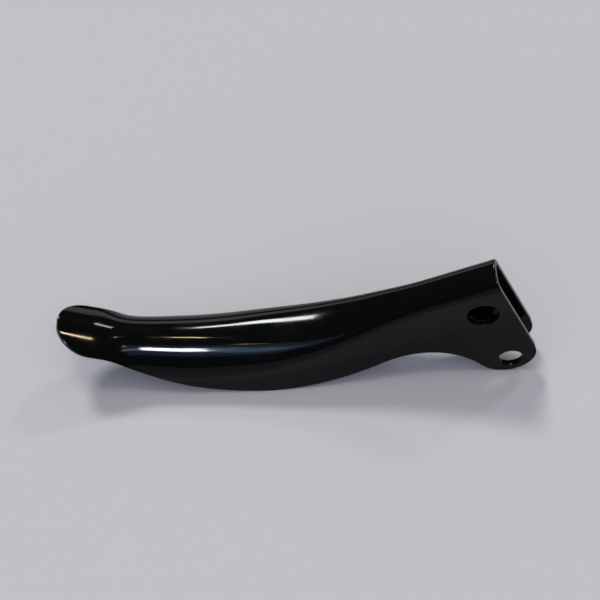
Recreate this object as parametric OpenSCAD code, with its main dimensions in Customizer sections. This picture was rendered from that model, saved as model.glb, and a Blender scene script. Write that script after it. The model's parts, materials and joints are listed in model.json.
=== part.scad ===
// Tiller handle: a hand lever pressed in one piece from sheet steel.
// It is a channel with its back up and its open side down. Two flat cheeks carry the
// pivot bore and the cable pin bore, the back widens into a half-round grip, and the
// grip runs out into a curled tongue.
// The origin is the centre of the pivot bore, which runs along Y. The grip points
// along -X. The lever is drawn as it rests on a table, on the two pin lobes and on
// the lowest point of the two belly edges.

/* [Sheet] */
// Thickness of the pressed sheet
sheet_t = 2; // [1.2:0.1:2.6]

/* [Pivot end] */
// Width over the two cheeks
channel_w = 12.3; // [11:0.1:15]
// Outer radius of the fold between the back and a cheek
fold_r = 4; // [3:0.1:5]
// Diameter of the pivot bore
pivot_d = 10.5; // [8:0.5:12]
// Distance from the pivot bore to the cut end
pivot_to_end = 9.5; // [8:0.1:11]
// Height of the back above the pivot bore, square to the back
pivot_to_back = 13.9; // [12:0.1:16]
// Diameter of the cable pin bore
pin_d = 8; // [6:0.5:9]
// Distance from the pivot bore down to the cable pin bore
pin_drop = 28; // [25:0.5:31]

/* [Cheek outline] */
// Radius of the lobe round the cable pin
lobe_r = 10; // [9:0.1:11]
// Height of the lobe's centre above the cable pin bore
lobe_lift = 3; // [2:0.1:3.5]
// Radius of the arch between the lobe and the belly
arch_r = 29; // [24:1:38]
// Radius of the belly edge under the grip
belly_r = 83.5; // [72:0.5:100]
// Distance from the pivot bore back to the lowest point of the belly
belly_back = 69.7; // [63:0.1:76]

/* [Back line] */
// Slope of the straight back, in degrees
back_slope = 25.5; // [23:0.5:27.5]
// Length of the straight back, from the cut end
straight_len = 45; // [40:1:52]
// Radius of the bend from the channel into the grip
knee_r = 100; // [80:1:125]
// Turn of the bend from the channel into the grip, in degrees
knee_turn = 18.5; // [16:0.5:21]
// Radius of the bend along the grip
grip_bend_r = 214; // [170:1:280]
// Turn of the bend along the grip, in degrees
grip_turn = 13.5; // [11:0.5:16]
// Radius of the upward curl of the tongue
curl_r = 32.5; // [24:0.5:45]
// Turn of the upward curl of the tongue, in degrees
curl_turn = 15.5; // [8:0.5:20]
// Straight length of the tongue behind its curl
tongue_len = 11; // [8:0.5:15]

/* [Grip and tongue] */
// Width of the grip
grip_w = 24.3; // [21:0.1:28]
// Where the channel starts to widen, from the cut end
widen_from = 23; // [18:1:28]
// Length over which the channel widens to the grip
widen_len = 61; // [50:1:70]
// Where the folds start to open into a half-round, from the cut end
open_from = 35; // [30:1:42]
// Length over which the folds open into a half-round
open_len = 77; // [64:1:86]
// Width of the tongue
tongue_w = 20.5; // [17:0.5:24]
// Distance from the tip to where the grip has narrowed to the tongue
neck_to_tip = 14.7; // [12:0.1:20]
// Length over which the grip narrows to the tongue
neck_len = 32.5; // [24:0.5:40]
// Height of the tongue's crown over its side edges
tongue_crown = 2.4; // [1.6:0.1:4]
// Difference in depth within which the belly edge runs into the side of the tongue
edge_blend = 2; // [0.5:0.1:4]
// Length of the rounded nose of the tongue
nose_len = 11.5; // [8:0.5:14]

/* [Hidden] */

// Least flat across the back, and least straight edge on each side of a section
crown_flat = 0.3;
edge_flat = 0.8;
// Last point of the nose, as an angle round its quarter ellipse
nose_stop = 81;
// Facets round each fold, and sections along each stretch of the lever
fold_steps = 10;
lobe_sections = 14;
back_sections = 52;
nose_sections = 10;
bore_fn = 96;

degree = PI / 180;

// Directions in the side view, as [x, z]: along the channel's back to the cut end, and
// square to it
along = [cos(back_slope), sin(back_slope)];
above = [-sin(back_slope), cos(back_slope)];

// The back line: the length of each stretch, and how far it turns
stretches = [
    [straight_len, 0],
    [knee_r * knee_turn * degree, knee_turn],
    [grip_bend_r * grip_turn * degree, grip_turn],
    [curl_r * curl_turn * degree, curl_turn],
    [tongue_len, 0]
];
back_start = pivot_to_end * along + pivot_to_back * above;
back_len = total([for (part = stretches) part[0]]);
neck_from = back_len - neck_to_tip - neck_len;
nose_from = back_len - nose_len;

// The edge line of a cheek: a lobe that meets the cut end, an arch, and a belly that
// rests on the same table as the lobe
lobe_c = (lobe_lift - pin_drop) * above + (pivot_to_end - lobe_r) * along;
table_z = lobe_c[1] - lobe_r;
belly_c = [-belly_back, table_z + belly_r];
arch_c = tangent_centre(lobe_c, lobe_r + arch_r, belly_c, belly_r + arch_r);
lobe_end = lobe_c + (arch_c - lobe_c) * lobe_r / (lobe_r + arch_r);
belly_start = belly_c + (arch_c - belly_c) * belly_r / (belly_r + arch_r);

function total(list, i = 0) = i < len(list) ? list[i] + total(list, i + 1) : 0;

// Smooth step from 0 to 1 between two places
function ease(x, from, length) =
    let (q = min(max((x - from) / length, 0), 1))
    q * q * (3 - 2 * q);

// The greater of two values, rounded where they differ by less than the blend
function soft_max(a, b, blend) =
    let (q = max(blend - abs(a - b), 0))
    max(a, b) + q * q / (4 * blend);

// The lower of the two points at distance da from a and db from b
function tangent_centre(a, da, b, db) =
    let (
        gap = norm(b - a),
        dir = (b - a) / gap,
        run = (da * da - db * db + gap * gap) / (2 * gap),
        fall = sqrt(da * da - run * run)
    )
    a + run * dir + fall * [-dir[1], dir[0]];

// Distance from a point, along a direction, to the far (1) or near (-1) side of a circle
function reach(point, dir, centre, radius, side) =
    let (
        m = point - centre,
        b = m * dir
    )
    -b + side * sqrt(max(b * b - m * m + radius * radius, 0));

// Place on the back line: [point, slope], a distance along it from the cut end
function walk(point, slope, distance, turn) =
    let (
        half = turn / 2,
        chord = turn == 0 ? distance : distance * sin(half) / (half * degree),
        dir = slope - half
    )
    [point - chord * [cos(dir), sin(dir)], slope - turn];
function back_at(s, i = 0, point = back_start, slope = back_slope) =
    let (length = stretches[i][0], turn = stretches[i][1])
    s <= length || i == len(stretches) - 1
    ? walk(point, slope, s, turn * s / length)
    : let (next = walk(point, slope, length, turn))
      back_at(s - length, i + 1, next[0], next[1]);

// Depth of the cheek's edge under the back line, square to it
function cheek_depth(point, dir) =
    let (
        lobe = reach(point, dir, lobe_c, lobe_r, 1),
        arch = reach(point, dir, arch_c, arch_r, -1),
        belly = reach(point, dir, belly_c, belly_r, 1)
    )
    (point + lobe * dir)[0] >= lobe_end[0] ? lobe
    : (point + arch * dir)[0] >= belly_start[0] ? arch
    : belly;

// Half the width of the lever
function half_width(s) =
    let (
        grip = (grip_w - channel_w) / 2 * ease(s, widen_from, widen_len),
        neck = (grip_w - tongue_w) / 2 * ease(s, neck_from, neck_len),
        q = max(s - nose_from, 0) / nose_len
    )
    (channel_w / 2 + grip - neck) * sqrt(1 - q * q);

// Outer radius of the folds, which open until the section is a half-round
function fold_radius(s, half) =
    min(fold_r + (grip_w / 2 - fold_r) * ease(s, open_from, open_len), half - crown_flat);

// Half a section: arc angle, arc radius, flat, then half width and depth of the edge.
// Where the edge is lower than the folds, a fold is a quarter circle and a straight
// cheek. Where it is higher, the fold is a shallower arc that ends in a short straight.
function section_at(s, half, depth) =
    let (
        r = fold_radius(s, half),
        shallow = depth < r + edge_flat,
        arc_r = shallow ? (r * r + depth * depth - edge_flat * edge_flat) / (2 * depth) : r,
        arc_a = shallow ? atan2(r, arc_r - depth) - atan(edge_flat / arc_r) : 90
    )
    [arc_a, arc_r, half - r, half, depth];

// The points of half a section as [y, depth], from the crown to the edge, a distance
// inside the outer face
function half_section(sec, inside) =
    let (arc_a = sec[0], arc_r = sec[1], flat = sec[2])
    [
        for (i = [0:fold_steps])
            let (a = arc_a * i / fold_steps)
            [flat + (arc_r - inside) * sin(a), arc_r - (arc_r - inside) * cos(a)],
        [sec[3] - inside * sin(arc_a), sec[4] + inside * cos(arc_a)]
    ];

// A whole face of a section, from the edge on +Y over the crown to the edge on -Y
function face_points(sec, inside) =
    let (half = half_section(sec, inside), n = len(half))
    [
        for (i = [n - 1:-1:0]) half[i],
        for (i = [0:n - 1]) [-half[i][0], half[i][1]]
    ];

// The ring of points round the sheet at a distance along the back
function ring_at(s) =
    let (
        place = back_at(s),
        dir = [sin(place[1]), -cos(place[1])],
        half = half_width(s),
        crown = tongue_crown * pow(2 * half / tongue_w, 2),
        depth = soft_max(cheek_depth(place[0], dir), crown, edge_blend),
        sec = section_at(s, half, depth),
        outer = face_points(sec, 0),
        inner = face_points(sec, sheet_t)
    )
    [
        for (p = concat(outer, [for (i = [len(inner) - 1:-1:0]) inner[i]]))
            let (xz = place[0] + p[1] * dir)
            [xz[0], p[0], xz[1]]
    ];

// Places of the sections: close together round the lobe and round the nose
lobe_len = pivot_to_end + lobe_r;
places = [
    for (i = [0:lobe_sections - 1]) lobe_len * (1 - cos(90 * i / lobe_sections)),
    for (i = [0:back_sections - 1]) lobe_len + (nose_from - lobe_len) * i / back_sections,
    for (i = [0:nose_sections]) nose_from + nose_len * sin(nose_stop * i / nose_sections)
];

// A skin over rings of points, closed at both ends by strips across the sheet
module sheet_loft(rings) {
    n = len(rings[0]);
    last = len(rings) - 1;
    polyhedron(
        points = [for (ring = rings, p = ring) p],
        faces = [
            for (i = [0:last - 1], j = [0:n - 1])
                let (k = (j + 1) % n)
                [i * n + j, i * n + k, (i + 1) * n + k, (i + 1) * n + j],
            for (j = [0:n / 2 - 2]) [n - 1 - j, n - 2 - j, j + 1, j],
            for (j = [0:n / 2 - 2]) [for (k = [j, j + 1, n - 2 - j, n - 1 - j]) last * n + k]
        ],
        convexity = 8
    );
}

module bore(diameter) {
    rotate([90, 0, 0])
        cylinder(h = 2 * channel_w, d = diameter, center = true, $fn = bore_fn);
}

module lever() {
    pin = -pin_drop * above;
    color("#17181a")
        difference() {
            sheet_loft([for (s = places) ring_at(s)]);
            bore(pivot_d);
            translate([pin[0], 0, pin[1]]) bore(pin_d);
        }
}

lever();
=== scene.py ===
"""Looks for a tiller handle: one pressed steel lever in glossy black enamel."""
import json
import math

import bmesh
import bpy
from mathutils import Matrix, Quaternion, Vector


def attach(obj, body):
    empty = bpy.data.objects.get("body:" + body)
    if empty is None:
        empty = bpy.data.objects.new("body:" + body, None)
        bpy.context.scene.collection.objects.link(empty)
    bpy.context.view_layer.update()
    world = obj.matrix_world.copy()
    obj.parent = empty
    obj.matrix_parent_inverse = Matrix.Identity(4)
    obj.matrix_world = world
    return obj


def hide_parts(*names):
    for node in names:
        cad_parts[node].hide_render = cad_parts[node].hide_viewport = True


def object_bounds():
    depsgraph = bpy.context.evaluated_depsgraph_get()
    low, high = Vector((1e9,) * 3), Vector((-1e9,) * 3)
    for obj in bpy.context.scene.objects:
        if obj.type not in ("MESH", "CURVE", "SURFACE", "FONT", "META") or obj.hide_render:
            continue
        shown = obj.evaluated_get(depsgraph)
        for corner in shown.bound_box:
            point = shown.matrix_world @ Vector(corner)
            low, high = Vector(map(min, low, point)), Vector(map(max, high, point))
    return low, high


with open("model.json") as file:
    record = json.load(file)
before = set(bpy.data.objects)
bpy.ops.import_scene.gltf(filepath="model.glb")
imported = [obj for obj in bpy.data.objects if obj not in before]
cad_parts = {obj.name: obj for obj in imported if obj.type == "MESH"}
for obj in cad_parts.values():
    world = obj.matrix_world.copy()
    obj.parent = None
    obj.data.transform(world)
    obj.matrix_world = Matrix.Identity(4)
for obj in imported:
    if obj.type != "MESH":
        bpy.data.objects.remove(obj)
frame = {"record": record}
cad_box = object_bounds()

MM = 0.001
TABLE_Z = cad_box[0][2]

# The pressing, in millimetres: the sizes that the lever's source has, with the cut end and
# the lobe a hair inside the solid's
SHEET = 2.0
CHANNEL_W = 12.3
FOLD_R = 4.0
PIVOT_TO_END = 9.495
PIVOT_TO_BACK = 13.9
PIN_DROP = 28.0
LOBE_R = 9.99
LOBE_LIFT = 3.0
ARCH_R = 29.0
BELLY_R = 83.5
BELLY_BACK = 69.7
BACK_SLOPE = 25.5
STRAIGHT_LEN = 45.0
KNEE_R, KNEE_TURN = 100.0, 18.5
GRIP_BEND_R, GRIP_TURN = 214.0, 13.5
CURL_R, CURL_TURN = 32.5, 15.5
TONGUE_LEN = 11.0
GRIP_W = 24.3
WIDEN_FROM, WIDEN_LEN = 23.0, 61.0
OPEN_FROM, OPEN_LEN = 35.0, 77.0
TONGUE_W = 20.5
NECK_TO_TIP, NECK_LEN = 14.7, 32.5
TONGUE_CROWN = 2.4
EDGE_BLEND = 2.0
NOSE_LEN = 11.5
CROWN_FLAT = 0.3
# Radius of the slight camber that the press leaves in the flat of the back
CAMBER_R = 26.0

# The blank's mesh: rows of points along each stretch of the lever, and points across
LOBE_ROWS, BACK_ROWS, NOSE_ROWS = 24, 150, 9
ACROSS = 96
NOSE_STOP = math.radians(81)
# Width of the band of faces along each sheared edge, which leaves room for its rounding
EDGE_BAND = 0.5

# Rounding of the sheared edges under the enamel, and the least turn of such an edge
EDGE_ROUND = 0.35 * MM
RIM_ANGLE = math.radians(60)
# Each bore: the width of its plain ring of faces, and the least gap from there to the rest
# of the sheet's faces
BORE_LAND = 0.8 * MM
BORE_GAP = 0.3 * MM
BORE_POINTS = 72

# Camera: the distance from its target, and the direction it looks from
CAMERA_TARGET = (-57.9 * MM, 25.4 * MM, TABLE_Z)
CAMERA_DISTANCE = 494.2 * MM
CAMERA_HEIGHT = math.radians(54.28)
CAMERA_SIDE = math.radians(1.98)
CAMERA_ROLL = math.radians(0.22)
CAMERA_LENS = 84.0
SENSOR = 36.0
TABLE_RADIUS = 8.0

# Spacing of the enamel's slow wave, its orange peel and its smears
WAVE = 11 * MM
PEEL = 1.1 * MM
SMEAR = 7 * MM

# Mirrored panels: the point they face, and how far from it they stand
PANEL_CENTRE = (-60 * MM, 0, 0)
PANEL_DISTANCE = 1.5
ROOM = (0.05, 0.05, 0.052, 1)


# The back line and the edge line, in the side view

def ease(x, start, length):
    """Smooth step from 0 to 1 between two places."""
    q = min(max((x - start) / length, 0.0), 1.0)
    return q * q * (3 - 2 * q)


def soft_max(a, b, blend):
    """The greater of two values, rounded where they differ by less than the blend."""
    q = max(blend - abs(a - b), 0.0)
    return max(a, b) + q * q / (4 * blend)


def tangent_centre(a, from_a, b, from_b):
    """The lower of the two points at the given distances from a and from b."""
    gap = (b - a).length
    along_gap = (b - a) / gap
    run = (from_a ** 2 - from_b ** 2 + gap ** 2) / (2 * gap)
    fall = math.sqrt(from_a ** 2 - run ** 2)
    return a + run * along_gap + fall * Vector((-along_gap.y, along_gap.x))


def reach(point, heading, centre, radius, side):
    """Distance along a heading to the far (1) or near (-1) side of a circle."""
    m = point - centre
    b = m.dot(heading)
    return -b + side * math.sqrt(max(b * b - m.dot(m) + radius ** 2, 0.0))


slope = math.radians(BACK_SLOPE)
ALONG = Vector((math.cos(slope), math.sin(slope)))
ABOVE = Vector((-math.sin(slope), math.cos(slope)))
STRETCHES = (
    (STRAIGHT_LEN, 0.0),
    (KNEE_R * math.radians(KNEE_TURN), KNEE_TURN),
    (GRIP_BEND_R * math.radians(GRIP_TURN), GRIP_TURN),
    (CURL_R * math.radians(CURL_TURN), CURL_TURN),
    (TONGUE_LEN, 0.0),
)
BACK_LEN = sum(length for length, turn in STRETCHES)
NECK_FROM = BACK_LEN - NECK_TO_TIP - NECK_LEN
NOSE_FROM = BACK_LEN - NOSE_LEN
LOBE_LEN = PIVOT_TO_END + LOBE_R

LOBE_C = (LOBE_LIFT - PIN_DROP) * ABOVE + (PIVOT_TO_END - LOBE_R) * ALONG
BELLY_C = Vector((-BELLY_BACK, LOBE_C.y - LOBE_R + BELLY_R))
ARCH_C = tangent_centre(LOBE_C, LOBE_R + ARCH_R, BELLY_C, BELLY_R + ARCH_R)
LOBE_END = LOBE_C + (ARCH_C - LOBE_C) * LOBE_R / (LOBE_R + ARCH_R)
BELLY_START = BELLY_C + (ARCH_C - BELLY_C) * BELLY_R / (BELLY_R + ARCH_R)


def back_at(s):
    """Point and slope of the back line, a distance along it from the cut end."""
    point = PIVOT_TO_END * ALONG + PIVOT_TO_BACK * ABOVE
    angle = slope
    for length, turn in STRETCHES:
        step = min(s, length)
        half_turn = math.radians(turn) * step / length / 2
        chord = step * math.sin(half_turn) / half_turn if half_turn else step
        heading = angle - half_turn
        point = point - chord * Vector((math.cos(heading), math.sin(heading)))
        angle -= 2 * half_turn
        s -= step
        if s <= 0:
            break
    return point, angle


def cheek_depth(point, heading):
    """Depth of the cheek's edge under the back line, square to it."""
    lobe = reach(point, heading, LOBE_C, LOBE_R, 1)
    arch = reach(point, heading, ARCH_C, ARCH_R, -1)
    if (point + lobe * heading).x >= LOBE_END.x:
        return lobe
    if (point + arch * heading).x >= BELLY_START.x:
        return arch
    return reach(point, heading, BELLY_C, BELLY_R, 1)


def half_width(s):
    """Half the width of the lever, a distance along the back from the cut end."""
    grip = (GRIP_W - CHANNEL_W) / 2 * ease(s, WIDEN_FROM, WIDEN_LEN)
    neck = (GRIP_W - TONGUE_W) / 2 * ease(s, NECK_FROM, NECK_LEN)
    nose = max(s - NOSE_FROM, 0.0) / NOSE_LEN
    return (CHANNEL_W / 2 + grip - neck) * math.sqrt(1 - nose * nose)


class Section:
    """Half of the lever's section at a distance along the back: flat, fold and cheek."""

    def __init__(self, s):
        self.point, angle = back_at(s)
        self.heading = Vector((math.sin(angle), -math.cos(angle)))
        half = half_width(s)
        crown = TONGUE_CROWN * (2 * half / TONGUE_W) ** 2
        depth = soft_max(cheek_depth(self.point, self.heading), crown, EDGE_BLEND)
        opened = FOLD_R + (GRIP_W / 2 - FOLD_R) * ease(s, OPEN_FROM, OPEN_LEN)
        fold = min(opened, half - CROWN_FLAT)
        self.flat = half - fold
        self.arc_r, self.arc_a, self.cheek = fold, math.pi / 2, depth - fold
        if depth < fold:
            self.arc_r = (fold ** 2 + depth ** 2) / (2 * depth)
            self.arc_a = math.atan2(fold, self.arc_r - depth)
            self.cheek = 0.0

    def place(self, column):
        """Place in metres of a column of points, counted from the crown to either edge."""
        last = ACROSS // 2
        arc = self.arc_r * self.arc_a
        run = self.flat + arc + self.cheek
        if abs(column) < last:
            run = (run - min(EDGE_BAND, run / 2)) * abs(column) / (last - 1)
        rest = max(run - self.flat - arc, 0.0)
        out, depth = self.curve(run)
        end_out, end_depth = self.curve(self.flat + arc)
        true_out = self.flat + self.arc_r * math.sin(self.arc_a)
        true_depth = self.arc_r * (1 - math.cos(self.arc_a))
        out = out * true_out / end_out + rest * math.cos(self.arc_a)
        depth = depth * true_depth / end_depth + rest * math.sin(self.arc_a)
        x, z = self.point + depth * self.heading
        return Vector((x, math.copysign(out, column), z)) * MM

    def curve(self, run):
        """The cambered flat and the fold, before they are brought to their true size."""
        camber = self.flat / CAMBER_R
        turn = self.arc_a - camber
        fold_r = self.arc_r * self.arc_a / turn
        first = min(run, self.flat) / CAMBER_R
        last = camber + min(max(run - self.flat, 0.0) / fold_r, turn)
        out = CAMBER_R * math.sin(first) + fold_r * (math.sin(last) - math.sin(camber))
        depth = CAMBER_R * (1 - math.cos(first)) + fold_r * (math.cos(camber) - math.cos(last))
        return out, depth


# Making the lever

def select_none():
    """Leaves edit mode and deselects everything."""
    if bpy.context.object and bpy.context.object.mode != "OBJECT":
        bpy.ops.object.mode_set(mode="OBJECT")
    bpy.ops.object.select_all(action="DESELECT")


def row_places():
    """Distances of the blank's rows: close together round the lobe and round the nose."""
    shares = [i / LOBE_ROWS for i in range(LOBE_ROWS)]
    lobe = [LOBE_LEN * (share + 1 - math.cos(math.pi / 2 * share)) / 2 for share in shares]
    step = (NOSE_FROM - LOBE_LEN) / BACK_ROWS
    back = [LOBE_LEN + step * i for i in range(BACK_ROWS)]
    nose = [NOSE_FROM + NOSE_LEN * math.sin(NOSE_STOP * i / NOSE_ROWS) for i in range(NOSE_ROWS + 1)]
    return lobe + back + nose


def press_blank():
    """A flat blank of sheet, pressed over the form."""
    select_none()
    places = row_places()
    bpy.ops.mesh.primitive_grid_add(
        x_subdivisions=len(places) - 1, y_subdivisions=ACROSS, size=2, location=(0, 0, 0)
    )
    blank = bpy.context.object
    blank.name = "pressed_lever"
    sections = [Section(s) for s in places]
    rows = len(places) - 1
    for vertex in blank.data.vertices:
        row = round((1 - vertex.co.x) / 2 * rows)
        vertex.co = sections[row].place(round(vertex.co.y * ACROSS / 2))
    return blank


def off_axis(point, mount):
    """Distance of a point from a mount's axis, which runs along Y."""
    x, _, z = mount["pos_m"]
    return math.hypot(point[0] - x, point[2] - z)


def punch_bore(lever, mount, side):
    """A round bore in one cheek: a clean ring of faces filled into the sheet round it."""
    select_none()
    bpy.context.view_layer.objects.active = lever
    lever.select_set(True)
    bpy.ops.object.mode_set(mode="EDIT")
    bpy.ops.mesh.select_mode(type="FACE")
    bpy.ops.mesh.select_all(action="DESELECT")
    radius = mount["dims"]["r_mm"] * MM
    ring = radius + BORE_LAND
    mesh = bmesh.from_edit_mesh(lever.data)
    for edge in mesh.edges:
        edge.seam = edge.is_boundary
    for face in mesh.faces:
        nearest = min(off_axis(v.co, mount) for v in face.verts)
        face.select = face.verts[0].co.y * side > 0 and nearest < ring + BORE_GAP
    bmesh.update_edit_mesh(lever.data)
    bpy.ops.mesh.delete(type="FACE")
    bpy.ops.mesh.select_mode(type="EDGE")
    x, _, z = mount["pos_m"]
    centre = (x, side * CHANNEL_W / 2 * MM, z)
    bpy.ops.mesh.primitive_circle_add(
        vertices=BORE_POINTS, radius=ring, location=centre, rotation=(math.pi / 2, 0, 0)
    )
    select_new_rims(lever)
    bpy.ops.mesh.fill()
    select_new_rims(lever)
    bpy.ops.mesh.extrude_edges_move()
    shrink = radius / ring
    bpy.ops.transform.resize(value=(shrink, 1, shrink), center_override=centre)
    bpy.ops.object.mode_set(mode="OBJECT")


def select_new_rims(lever):
    """Selects the open edges that weren't there, and so not marked, before the cut."""
    bpy.ops.mesh.select_all(action="DESELECT")
    mesh = bmesh.from_edit_mesh(lever.data)
    for edge in mesh.edges:
        if len(edge.link_faces) < 2 and not edge.seam:
            edge.select = True
    bmesh.update_edit_mesh(lever.data)


def weigh_rims(lever):
    """Marks the sheet's rims for rounding, as wide as the faces beside each have room for."""
    mesh = bmesh.new()
    mesh.from_mesh(lever.data)
    weight = mesh.edges.layers.float.new("bevel_weight_edge")
    rims = {}
    for edge in mesh.edges:
        if edge.calc_face_angle(0.0) < RIM_ANGLE:
            continue
        start = edge.verts[0].co
        run = (edge.verts[1].co - start).normalized()
        beside = {v for face in edge.link_faces for v in face.verts} - set(edge.verts)
        room = min((v.co - start).cross(run).length for v in beside)
        rims[edge] = min(0.85 * room / EDGE_ROUND, 1.0)
    for edge in rims:
        joined = [other for v in edge.verts for other in v.link_edges if other in rims]
        edge[weight] = min(rims[other] for other in joined)
    mesh.to_mesh(lever.data)
    mesh.free()


def turn_outward(lever):
    """Makes every face of the open sheet point away from the channel's inside."""
    select_none()
    bpy.context.view_layer.objects.active = lever
    lever.select_set(True)
    bpy.ops.object.mode_set(mode="EDIT")
    bpy.ops.mesh.select_all(action="SELECT")
    bpy.ops.mesh.normals_make_consistent(inside=False)
    bpy.ops.object.mode_set(mode="OBJECT")
    highest = max(lever.data.polygons, key=lambda face: face.center.z)
    if highest.normal.z < 0:
        bpy.ops.object.mode_set(mode="EDIT")
        bpy.ops.mesh.flip_normals()
        bpy.ops.object.mode_set(mode="OBJECT")


def add_modifier(piece, kind, **settings):
    """Adds a modifier to the active piece and applies it."""
    modifier = piece.modifiers.new(kind.title(), kind)
    for name, value in settings.items():
        setattr(modifier, name, value)
    bpy.ops.object.modifier_apply(modifier=modifier.name)


def make_lever():
    """The lever: pressed, punched, given its thickness, and rounded along its rims."""
    lever = press_blank()
    bores = [mount for mount in frame["record"]["mounts"] if mount["kind"] == "bore"]
    for mount in bores:
        for side in (-1, 1):
            punch_bore(lever, mount, side)
    turn_outward(lever)
    add_modifier(lever, "SOLIDIFY", thickness=SHEET * MM, offset=-1, use_even_offset=True)
    weigh_rims(lever)
    add_modifier(
        lever, "BEVEL", width=EDGE_ROUND, segments=3, limit_method="WEIGHT",
        use_clamp_overlap=False
    )
    bpy.ops.object.shade_smooth()
    add_modifier(lever, "WEIGHTED_NORMAL", mode="FACE_AREA", weight=50, keep_sharp=False)
    return lever


# Materials

def colour(hex_code, alpha=1.0):
    """An sRGB hex value as linear RGBA."""
    values = [int(hex_code[i:i + 2], 16) / 255 for i in (1, 3, 5)]
    linear = [v / 12.92 if v <= 0.04045 else ((v + 0.055) / 1.055) ** 2.4 for v in values]
    return (*linear, alpha)


def add_node(tree, kind, inputs=None, links=None, **settings):
    """Adds a node, sets its fields and inputs, and links its inputs."""
    node = tree.nodes.new(kind)
    for name, value in settings.items():
        setattr(node, name, value)
    for name, value in (inputs or {}).items():
        node.inputs[name].default_value = value
    for name, socket in (links or {}).items():
        tree.links.new(socket, node.inputs[name])
    return node


def new_material(name):
    """An empty material with its node tree and its output."""
    material = bpy.data.materials.new(name)
    material.use_nodes = True
    tree = material.node_tree
    tree.nodes.clear()
    output = tree.nodes.new("ShaderNodeOutputMaterial")
    return material, tree, output


def black_stove_enamel():
    """Black stove enamel, sprayed on bare steel and baked: a hard gloss with faint orange peel
    over a slow wave left by the press, and duller where hands have smeared it. It mirrors
    less than new enamel, as deep blacks show."""
    material, tree, output = new_material("black_stove_enamel")
    place = add_node(tree, "ShaderNodeTexCoord").outputs["Object"]
    wave = add_node(
        tree, "ShaderNodeTexNoise", {"Scale": 1 / WAVE, "Detail": 1.0}, {"Vector": place}
    )
    peel = add_node(
        tree, "ShaderNodeTexNoise", {"Scale": 1 / PEEL, "Detail": 2.0}, {"Vector": place}
    )
    smear = add_node(
        tree, "ShaderNodeTexNoise", {"Scale": 1 / SMEAR, "Detail": 4.0}, {"Vector": place}
    )
    gloss = add_node(
        tree, "ShaderNodeMapRange",
        {"From Min": 0.35, "From Max": 0.7, "To Min": 0.05, "To Max": 0.12},
        {"Value": smear.outputs["Fac"]}
    )
    tint = add_node(
        tree, "ShaderNodeMix", {"A": colour("#050606"), "B": colour("#0b0c0c")},
        {"Factor": smear.outputs["Fac"]}, data_type="RGBA"
    )
    slow = add_node(
        tree, "ShaderNodeBump", {"Strength": 0.35, "Distance": 0.05 * MM},
        {"Height": wave.outputs["Fac"]}
    )
    fine = add_node(
        tree, "ShaderNodeBump", {"Strength": 0.25, "Distance": 0.006 * MM},
        {"Height": peel.outputs["Fac"], "Normal": slow.outputs["Normal"]}
    )
    shader = add_node(
        tree, "ShaderNodeBsdfPrincipled", {"IOR": 1.52, "Specular IOR Level": 0.105},
        {
            "Base Color": tint.outputs["Result"], "Roughness": gloss.outputs["Result"],
            "Normal": fine.outputs["Normal"],
        }
    )
    tree.links.new(shader.outputs["BSDF"], output.inputs["Surface"])
    return material


def pale_tabletop():
    """A plain pale tabletop of matt melamine board, a little cool."""
    material, tree, output = new_material("pale_tabletop")
    shader = add_node(
        tree, "ShaderNodeBsdfPrincipled",
        {
            "Base Color": colour("#c3c2c8"), "Roughness": 0.85, "IOR": 1.45,
            "Specular IOR Level": 0.1,
        }
    )
    tree.links.new(shader.outputs["BSDF"], output.inputs["Surface"])
    return material


# Table, camera and lamps

def add_table():
    """The table that the lever lies on."""
    select_none()
    bpy.ops.mesh.primitive_circle_add(
        vertices=64, radius=TABLE_RADIUS, fill_type="NGON", location=(0, 0, TABLE_Z)
    )
    table = bpy.context.object
    table.name = "table"
    table.data.materials.append(pale_tabletop())


def add_camera():
    """The camera, at the photograph's viewing angle."""
    target = Vector(CAMERA_TARGET)
    away = Vector((
        -math.sin(CAMERA_SIDE) * math.cos(CAMERA_HEIGHT),
        -math.cos(CAMERA_SIDE) * math.cos(CAMERA_HEIGHT),
        math.sin(CAMERA_HEIGHT),
    ))
    data = bpy.data.cameras.new("camera")
    data.lens = CAMERA_LENS
    data.sensor_width = SENSOR
    camera = bpy.data.objects.new("camera", data)
    bpy.context.scene.collection.objects.link(camera)
    camera.location = target + CAMERA_DISTANCE * away
    camera.rotation_mode = "QUATERNION"
    camera.rotation_quaternion = (-away).to_track_quat("-Z", "Y")
    camera.rotation_quaternion.rotate(Quaternion(away, CAMERA_ROLL))
    bpy.context.scene.camera = camera


def add_sun(name, toward, share, softness, hex_code):
    """A lamp that lights the table and isn't mirrored, as a share of a plain full level."""
    toward = Vector(toward).normalized()
    data = bpy.data.lights.new(name, "SUN")
    data.energy = math.pi * share / toward.z
    data.angle = math.radians(softness)
    data.color = colour(hex_code)[:3]
    lamp = bpy.data.objects.new(name, data)
    bpy.context.scene.collection.objects.link(lamp)
    lamp.rotation_mode = "QUATERNION"
    lamp.rotation_quaternion = toward.to_track_quat("Z", "Y")
    lamp.visible_glossy = False


def add_panel(name, toward, width, height, level, hex_code, roll=0):
    """A panel that is mirrored in the enamel: its size and roll in degrees, and its level."""
    toward = Vector(toward).normalized()
    data = bpy.data.lights.new(name, "AREA")
    data.shape = "RECTANGLE"
    data.size = 2 * PANEL_DISTANCE * math.tan(math.radians(width / 2))
    data.size_y = 2 * PANEL_DISTANCE * math.tan(math.radians(height / 2))
    data.energy = 4 * level * data.size * data.size_y
    data.color = colour(hex_code)[:3]
    lamp = bpy.data.objects.new(name, data)
    bpy.context.scene.collection.objects.link(lamp)
    lamp.location = Vector(PANEL_CENTRE) + PANEL_DISTANCE * toward
    lamp.rotation_mode = "QUATERNION"
    lamp.rotation_quaternion = toward.to_track_quat("Z", "Y")
    lamp.rotation_quaternion.rotate(Quaternion(toward, math.radians(roll)))
    lamp.visible_diffuse = False


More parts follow.
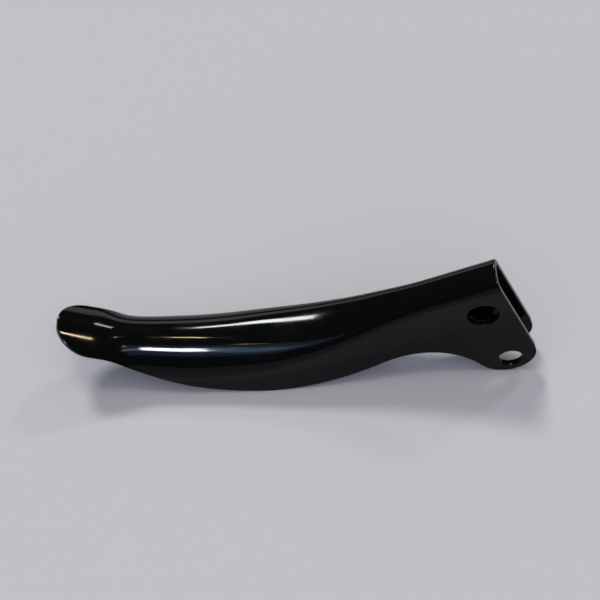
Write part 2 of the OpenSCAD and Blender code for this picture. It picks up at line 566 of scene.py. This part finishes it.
def add_lamps():
    """Soft lamps for the table and the shadows, and the panels that the enamel mirrors."""
    add_sun("key", (-0.30, 0.43, 0.85), 0.34, 12, "#fffdf6")
    add_sun("top", (-0.08, -0.02, 1.0), 0.17, 14, "#ffe6c4")
    add_sun("back_right", (0.45, 0.54, 0.70), 0.08, 8, "#f4faff")
    add_sun("front", (-0.05, -0.6, 0.8), 0.43, 110, "#e8eeff")
    # Along the crown of the grip: a long pale bar with a sharp end
    add_panel("back_window", (-0.244, 0.672, 0.699), 17.5, 5, 68, "#f0f8f2", -13)
    # Over the tongue
    add_panel("back_window_right", (0.225, 0.68, 0.70), 16, 3.2, 32, "#eef4f6", 40)
    # Along the front of the grip: a white spot that runs out to both sides in blue
    add_panel("front_window", (-0.075, -0.50, 0.862), 9, 9, 140, "#f2f9ff")
    add_panel("front_window_left", (0.11, -0.53, 0.84), 13, 5, 8, "#d4e2f6")
    add_panel("front_window_right", (-0.225, -0.50, 0.835), 8, 18, 5.4, "#9fc4ea")
    add_panel("front_wall", (-0.12, -0.55, 0.83), 34, 34, 1.9, "#8fb4e0")
    # Warm lamps over the lever
    add_panel("tube_lamp", (-0.088, 0.204, 0.975), 5, 1.8, 95, "#ffdca6")
    add_panel("tube_lamp_end", (-0.235, -0.184, 0.954), 2.5, 1.2, 31, "#ffd396")
    add_panel("side_lamp", (0.508, 0.24, 0.827), 2.4, 7, 105, "#ffe0b8", -20)
    add_panel("small_lamp", (0.112, 0.249, 0.962), 2, 2, 47, "#f4f4dc")
    add_panel("small_lamp_front", (0.137, -0.311, 0.94), 2, 2, 47, "#ffe2b0")
    # The pale wall behind, mirrored along the far limb
    add_panel("back_wall", (-0.15, 0.94, 0.29), 80, 14, 1.6, "#f6f0ea")
    world = bpy.data.worlds.new("room")
    world.use_nodes = True
    world.node_tree.nodes["Background"].inputs["Color"].default_value = ROOM
    bpy.context.scene.world = world


lever = make_lever()
lever.data.materials.append(black_stove_enamel())
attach(lever, "root")
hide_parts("lever")

add_table()
add_camera()
add_lamps()
bpy.context.scene.view_settings.view_transform = "Standard"
